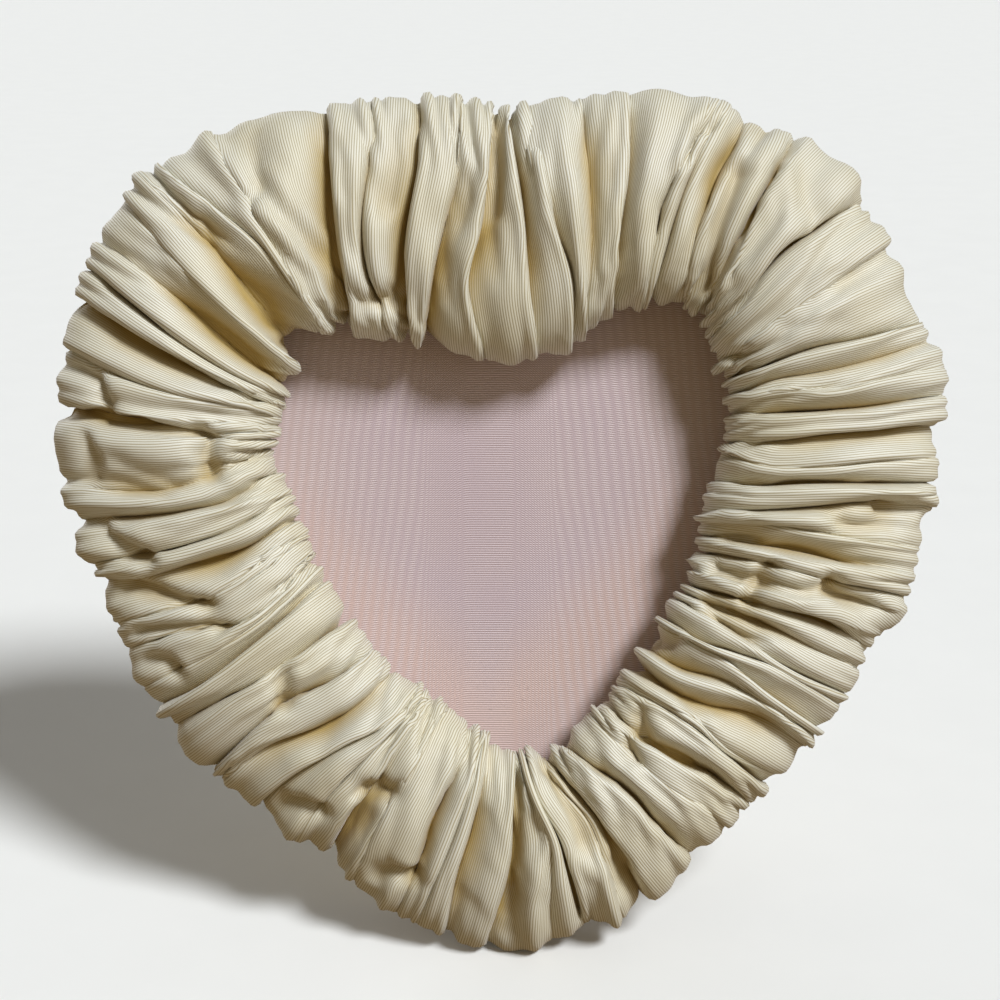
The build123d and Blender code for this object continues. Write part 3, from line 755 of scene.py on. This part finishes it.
def faille_finish():
    """Cream ribbed silk: round weft ribs with fine warp between them, and painted ochre shade deep in the
    folds, with some age toning."""
    finish = new_finish("sleeve_faille", roughness=0.56, ior=1.58, sheen_weight=0.2, sheen_roughness=0.4)
    rib_pitch, rib_waver, rib_relief = 0.00056, 2.5, 0.00008
    waver_grain, groove_share, fold_shade_share = (500, 60, 1), 0.75, 0.85
    cloth_place = node(finish, "UVMap", uv_map="cloth").outputs[0]
    uneven = node(finish, "Mapping", {"Vector": cloth_place, "Scale": waver_grain}).outputs[0]
    uneven = node(finish, "TexNoise", {"Vector": uneven, "Scale": 1.0, "Detail": 2.0}).outputs["Fac"]
    turns = node(finish, "SeparateXYZ", {0: cloth_place}).outputs[0]
    turns = maths(finish, "MULTIPLY", turns, 2 * math.pi / rib_pitch)
    rib = wave(finish, maths(finish, "ADD", turns, maths(finish, "MULTIPLY", uneven, rib_waver)))
    patches = ramp(finish, speckle(finish, 35, 4), 0.35, 0.7)
    silk = blend(finish, patches, colour(223, 222, 211), colour(218, 214, 195))
    groove = blend(finish, groove_share, silk, colour(146, 125, 67))
    silk = blend(finish, ramp(finish, rib, 0.0, 0.5), groove, silk)
    # Painted shade: the deeper the cloth sinks into a fold, the more it is tinted dark ochre, with some
    # age toning.
    sunk = node(finish, "Attribute", attribute_name="fold_depth").outputs["Fac"]
    silk = blend(finish, maths(finish, "MULTIPLY", sunk, fold_shade_share), silk, colour(176, 147, 66))
    feed(finish, base_color=silk)
    relief(finish, rib, rib_relief, 0.5)
    return finish


def thicken(piece, thickness, side):
    """Gives a sheet its thickness, to one side of its mesh."""
    layer = piece.modifiers.new("cloth thickness", "SOLIDIFY")
    layer.thickness = thickness
    layer.offset = side


# Sink depths at which the painted fold shade starts and where it is full. Hollows and dents get less of
# it.
shallow_fold, deep_fold = 0.0008, 0.0036
hollow_shade_cut = 0.45
faille_thickness = 0.0003
sleeve = add_piece("sleeve_cloth", cloth, grid_faces(*bearing.shape), faille_finish(), "frame", rib_places)
height = ((cloth - base) * normal).sum(axis=-1)
# Mask of the painted fold shade, given to the faille as fold_depth.
fold_depth = ((-height - shallow_fold) / deep_fold).clip(0, 1) * (1 - hollow_shade_cut * hollow_grip)
sleeve.data.attributes.new("fold_depth", "FLOAT", "POINT").data.foreach_set("value", fold_depth.ravel())
thicken(sleeve, faille_thickness, -1)
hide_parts("ruched_sleeve")


# Draw threads. Cotton thread run through both turned-in edges and pulled up
# tight behind the front board.
thread = two_tone_finish("thread", (4000, 2), (206, 196, 170), (232, 225, 204), 0.0001, roughness=0.7)
dress("gather_thread_inner", thread)
dress("gather_thread_outer", thread)


# Panel. Watered silk faille stretched over a stiff board behind the window,
# its edges turned in round the back and glued.
panel_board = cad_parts["panel_board"]
panel_corners = [panel_board.matrix_world @ corner.co for corner in panel_board.data.vertices]
panel_corners = np.array(panel_corners) - face_origin
board_middle = 0.095
board_x, board_z = panel_corners @ right, panel_corners @ up - board_middle
board_bearings, board_reaches = np.arctan2(board_z, board_x), np.hypot(board_z, board_x)
board_order = np.argsort(board_bearings)


def heart_rim(grow, bearing):
    """x and z of the panel board's own rim, moved outward by grow."""
    angle = np.radians(bearing)
    known = board_bearings[board_order], board_reaches[board_order]
    reach = np.interp(angle, *known, period=2 * math.pi) + grow
    return reach * np.cos(angle), board_middle + reach * np.sin(angle)


def moire_finish():
    """Pink watered silk. Two layers of ribs pressed on each other beat in streaks that stand upright
    beside a calm middle. It turns more peach towards the sides and the point, and there is dust in the
    point."""
    finish = new_finish("panel_moire", roughness=0.42, sheen_weight=0.15, sheen_roughness=0.35)
    rib_pitch, rib_relief = 0.00052, 0.00008
    streak_pitch, streak_lean, streak_waver = 0.0024, 0.13, 11.0
    middle_x, shoulder_z = -0.003, 0.11
    calm, calm_glint = (0.004, 0.016), (0.006, 0.018, 0.1575, 0.45)
    side_peach, low_peach = (0.022, 0.05, 0.0, 0.7), (0.034, 0.062)
    specks, dusty_point = (0.70, 0.76), (0.045, 0.085, 0.6, 0.0)
    cloth_place = node(finish, "UVMap", uv_map="cloth").outputs[0]
    place = node(finish, "SeparateXYZ", {0: cloth_place})
    x, z = place.outputs[0], place.outputs[1]
    drift = node(finish, "TexNoise", {"Vector": cloth_place, "Scale": 26.0, "Detail": 2.0}).outputs["Fac"]
    from_middle = maths(finish, "ABSOLUTE", maths(finish, "SUBTRACT", x, middle_x))
    beat = maths(finish, "ADD", from_middle, maths(finish, "MULTIPLY", z, streak_lean))
    beat = maths(finish, "MULTIPLY", beat, 2 * math.pi / streak_pitch)
    beat = maths(finish, "MULTIPLY", beat, ramp(finish, from_middle, *calm))
    beat = maths(finish, "ADD", beat, maths(finish, "MULTIPLY", drift, streak_waver))
    turns = maths(finish, "MULTIPLY", z, 2 * math.pi / rib_pitch)
    water = maths(finish, "ADD", wave(finish, turns), wave(finish, maths(finish, "ADD", turns, beat)))
    water = maths(finish, "MULTIPLY", water, 0.5)
    glint = maths(finish, "MULTIPLY", wave(finish, beat), ramp(finish, from_middle, *calm_glint))
    silk = blend(finish, ramp(finish, drift, 0.3, 0.7), colour(189, 170, 188), colour(194, 175, 185))
    silk = blend(finish, ramp(finish, from_middle, *side_peach), silk, colour(206, 180, 168))
    low = maths(finish, "ADD", from_middle, maths(finish, "SUBTRACT", shoulder_z, z))
    silk = blend(finish, ramp(finish, low, *low_peach), silk, colour(219, 184, 170))
    dust = ramp(finish, speckle(finish, 900, 1), *specks)
    dust = maths(finish, "MULTIPLY", dust, ramp(finish, z, *dusty_point))
    silk = blend(finish, dust, silk, colour(120, 84, 58))
    silk = blend(finish, glint, silk, colour(236, 224, 228))
    dark = blend(finish, 0.7, silk, colour(142, 116, 110))
    light = blend(finish, 0.5, silk, colour(242, 230, 234))
    feed(finish, base_color=blend(finish, water, dark, light))
    relief(finish, water, rib_relief, 0.6)
    return finish


cover_gap = 0.0004
cover_thickness = 0.00032
cover_turn_in = 0.008
rim_steps, skin_rings, innermost_ring = 480, 26, 0.0004


def close_middle(piece, ring_count):
    """Fills the small hole left inside the innermost ring."""
    form = bmesh.new()
    form.from_mesh(piece.data)
    form.verts.ensure_lookup_table()
    places = form.loops.layers.uv["cloth"]
    first = {v for v in form.verts if v.index % ring_count == 0}
    edges = [e for e in form.edges if e.verts[0] in first and e.verts[1] in first]
    filled = bmesh.ops.triangle_fill(form, edges=edges, use_beauty=True)
    for item in filled["geom"]:
        if isinstance(item, bmesh.types.BMFace):
            item.smooth = True
            for corner in item.loops:
                place = np.array(corner.vert.co) - face_origin
                corner[places].uv = (place @ right, place @ up)
    bmesh.ops.recalc_face_normals(form, faces=form.faces)
    form.to_mesh(piece.data)
    form.free()


def wrapped_cloth(name, skin, turn_in_face, finish, node_name):
    """Cloth round a heart-shaped board: the skin over one face, the edge and
    a narrow turn-in on the other face. Stand-offs say where the faces lie."""
    bearing = np.linspace(0, 360, rim_steps, endpoint=False)
    x, z = heart_rim(cover_gap, bearing)
    turn_x, turn_z = heart_rim(cover_gap - cover_turn_in, bearing)
    centre_x, centre_z = x.mean(), z.mean()
    shrink = np.sqrt(np.linspace(innermost_ring, 1, skin_rings))
    rings = [(centre_x + (x - centre_x) * k, centre_z + (z - centre_z) * k, skin) for k in shrink]
    rings.append((x, z, turn_in_face))
    rings.append(((x + turn_x) / 2, (z + turn_z) / 2, turn_in_face))
    rings.append((turn_x, turn_z, turn_in_face))
    points = np.stack([on_frame(*ring) for ring in rings], axis=1)
    faces = grid_faces(*points.shape[:2])
    places = np.stack([np.stack((a, b), axis=-1) for a, b, c in rings], axis=1).reshape(-1, 2)
    piece = add_piece(name, points, faces, finish, "frame", places[faces])
    close_middle(piece, len(rings))
    thicken(piece, cover_thickness, -1 if skin > turn_in_face else 1)
    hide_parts(node_name)
    return piece


panel_skin, panel_turn_in = -0.0026, -0.0052
panel = wrapped_cloth("panel_cloth", panel_skin, panel_turn_in, moire_finish(), "panel_cover")


# Back. A second stiff heart, covered in plain cream cloth that turns in
# between it and the panel.
back_skin, back_turn_in = -0.0080, -0.0056
cotton = two_tone_finish(
    "back_cloth", (1800, 2), (214, 204, 178), (230, 222, 200), 0.0001, roughness=0.85, sheen_weight=0.1,
)
back = wrapped_cloth("back_cloth", back_skin, back_turn_in, cotton, "back_cover")


# Hinge and rivets. Two stamped leaves of nickel-plated steel, rolled round a
# wire pin. Domed brass rivets hold them and the ends of the ribbon.
def metal_finish(name, tint, rough):
    """Plated metal with fine scratches."""
    finish = new_finish(name, metallic=1.0)
    grain = speckle(finish, 1500, 4, 0.6, (1, 1, 8))
    plate = blend(finish, grain, tint, colour(236, 232, 222))
    feed(finish, base_color=plate, roughness=ramp(finish, grain, 0.3, 0.7, rough, rough + 0.15))
    return finish


nickel = metal_finish("hinge_steel", colour(190, 188, 180), 0.28)
brass = metal_finish("rivet_brass", colour(206, 172, 96), 0.25)
for leaf in ("hinge_back_leaf", "hinge_leg_leaf", "hinge_pin"):
    dress(leaf, nickel)
for rivets in ("hinge_back_rivets", "hinge_leg_rivets", "stay_back_rivet", "stay_leg_rivet"):
    dress(rivets, brass)


# Leg. A tapered board in the same cream cloth, which is drawn round it and
# closed by a glued lap down the middle of its rear.
leg_swing = math.radians(32)
leg_down = -math.cos(leg_swing) * up - math.sin(leg_swing) * out
leg_rear = math.sin(leg_swing) * up - math.cos(leg_swing) * out
pin_place = (pin_low + pin_high) / 2
leg_top_drop, leg_cloth_drop = 0.003, 0.112
leg_front, leg_back = 0.0016, 0.0049
leg_half_top = 0.0134
leg_taper = 0.008 / 0.120
leg_corner = 0.0044
leg_ring_steps, leg_drop_steps, edge_roundness = 48, 40, 2 / 9
top_drops, top_squeezes = (0, 0.0003, 0.0008, 0.0016, 0.0028), (0.05, 0.6, 0.9, 1, 1)
pucker_height, puckers_round, puckers_down = 0.00008, 3, 700
foot_gap = 0.0002


def on_leg(x, drop, depth):
    """World points from places across and down the leg, and their depth
    behind the hinge pin."""
    x, drop, depth = (np.asarray(value, float)[..., None] for value in (x, drop, depth))
    return pin_place + x * right + drop * leg_down + depth * leg_rear


def leg_cloth():
    """Rings round the board from its rounded top to the table."""
    ring_turns = np.linspace(0, 2 * math.pi, leg_ring_steps, endpoint=False)
    across, through = (
        np.sign(way) * np.abs(way) ** edge_roundness for way in (np.cos(ring_turns), np.sin(ring_turns))
    )
    middle, half = (leg_front + leg_back) / 2, (leg_back - leg_front) / 2
    drops = np.r_[top_drops, np.linspace(leg_corner, leg_cloth_drop, leg_drop_steps)]
    squeezes = np.r_[top_squeezes, np.ones(leg_drop_steps)]
    rings = []
    for drop, squeeze in zip(drops, squeezes):
        corner = leg_corner - math.sqrt(leg_corner ** 2 - max(leg_corner - drop, 0) ** 2)
        width = leg_half_top + leg_taper * drop - corner
        pucker = pucker_height * np.sin(ring_turns * puckers_round + drop * puckers_down)
        depth = middle + (half * squeeze + pucker) * through
        rings.append(on_leg(width * across, leg_top_drop + drop, depth))
    foot = rings[-1] + leg_down * (rings[-1][:, 2:] - foot_gap) / -leg_down[2]
    rings += [foot, (foot + foot.mean(axis=0)) / 2]
    points = np.stack(rings)
    faces = grid_faces(*points.shape[:2], closed_rows=False, closed_columns=True)
    places = np.stack((points @ right, points @ leg_down), axis=-1).reshape(-1, 2)
    return add_piece("leg_cloth", points, faces, cotton, "leg", places[faces])


leg_cover = leg_cloth()
thicken(leg_cover, cover_thickness, -1)
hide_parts("leg_cover")


# Stay. A short satin ribbon, riveted to the back and to the leg, that is
# taut when the leg is open.
ribbon_half = 0.0045
ribbon_thick = 0.0004
ribbon_lap = 0.007
ribbon_gap = 0.0001
ribbon_steps, ribbon_easing_rounds = 12, 6
stay_drop = 0.085
cover_rear = 0.0081


def ribbon_line():
    """The ribbon's own line: flat on the back, over to the leg, flat on it."""
    lift = ribbon_thick / 2 + ribbon_gap
    drops = (stay_drop - ribbon_lap, stay_drop, stay_drop + ribbon_lap)
    on_back = [on_frame(0, pin_height - drop, -cover_rear - lift) for drop in drops]
    on_board = [on_leg(0, drop, leg_front - lift) for drop in drops[::-1]]
    knots = np.array(on_back + on_board)
    steps = np.arange((len(knots) - 1) * ribbon_steps + 1) / ribbon_steps
    line = np.stack([np.interp(steps, range(len(knots)), axis) for axis in knots.T], axis=1)
    for _ in range(ribbon_easing_rounds):
        line[1:-1] = (line[:-2] + 2 * line[1:-1] + line[2:]) / 4
    return line, on_back[-1], on_board[0]


line, leaves_back, meets_leg = ribbon_line()
face_way = np.cross(unit(np.gradient(line, axis=0)), right)
across = np.array((-1, -0.96, -0.9, -0.5, 0, 0.5, 0.9, 0.96, 1)) * ribbon_half
rim = np.array((0.6, 1, 0.8, 0.8, 0.8, 0.8, 0.8, 1, 0.6)) * ribbon_thick / 2
loop_across = np.r_[across, across[::-1]]
loop_rim = np.r_[rim, -rim[::-1]]
points = line[:, None] + loop_across[None, :, None] * right + loop_rim[None, :, None] * face_way[:, None]
faces = grid_faces(*points.shape[:2], closed_rows=False, closed_columns=True)
satin = two_tone_finish(
    "stay_satin", (2500, 2, 0.5, (6, 1, 1)), (222, 212, 184), (240, 232, 208), 0.00006,
    roughness=0.35, sheen_weight=0.2,
)
ribbon = add_piece("ribbon_satin", points, faces, satin)
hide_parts("stay_ribbon")
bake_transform(ribbon)


# Table and light. A pale matt table top in a pale room. Soft daylight falls in
# from high on the right, a little from beside, and from a window far behind.
table_reach = 25.0
backdrop = (0.847, 0.861, 0.85, 1)
room_front = (0.255, 0.193, 0.088, 1)
room_behind = (0.33, 0.325, 0.3, 1)
room_overhead = (0.14, 0.145, 0.15, 1)
daylight = (
    ("window light", (0.78, 1.08, 1.2), 15, 3.1, (0.97, 1.0, 1.03)),
    ("side window light", (1.4, 0.1, 1.0), 35, 0.3, (1.0, 1.0, 1.0)),
    ("far window light", (-0.9, 0.3, -1.2), 60, 1.9, (1.0, 1.0, 1.0)),
)


def table_finish():
    """Matt pale laminate. It looks pale but throws little light back, as the
    grey table under the real frame does."""
    finish = new_finish("table", roughness=0.8, specular_ior_level=0.0)
    seen = node(finish, "LightPath").outputs["Is Camera Ray"]
    pale = blend(finish, speckle(finish, 40, 3), colour(236, 236, 234), colour(240, 240, 238))
    feed(finish, base_color=blend(finish, seen, colour(140, 120, 92), pale))
    return finish


corners = [(table_reach * x, table_reach * y, 0) for x, y in ((-1, -1), (1, -1), (1, 1), (-1, 1))]
add_piece("table", corners, [(0, 1, 2, 3)], table_finish(), "frame")

for name, way, spread, energy, tint in daylight:
    lamp = bpy.data.lights.new(name, "SUN")
    lamp.angle = math.radians(spread)
    lamp.energy = energy
    lamp.color = tint
    light = bpy.data.objects.new(name, lamp)
    bpy.context.collection.objects.link(light)
    way = way[0] * right + way[1] * up + way[2] * out
    light.rotation_euler = Vector(way).to_track_quat("Z", "Y").to_euler()

world = bpy.data.worlds.new("room")
bpy.context.scene.world = world
world.use_nodes = True
room_way = node(world, "SeparateXYZ", {0: node(world, "TexCoord").outputs["Generated"]})
behind = ramp(world, room_way.outputs[1], -0.1, 0.5)
overhead = ramp(world, room_way.outputs[2], 0.2, 0.8)
room_tone = blend(world, behind, room_front, room_behind)
room_tone = blend(world, overhead, room_tone, room_overhead)
room_tone = blend(world, node(world, "LightPath").outputs["Is Camera Ray"], room_tone, backdrop)
plug(world, world.node_tree.nodes["Background"].inputs["Color"], room_tone)
bpy.context.scene.view_settings.view_transform = "Standard"
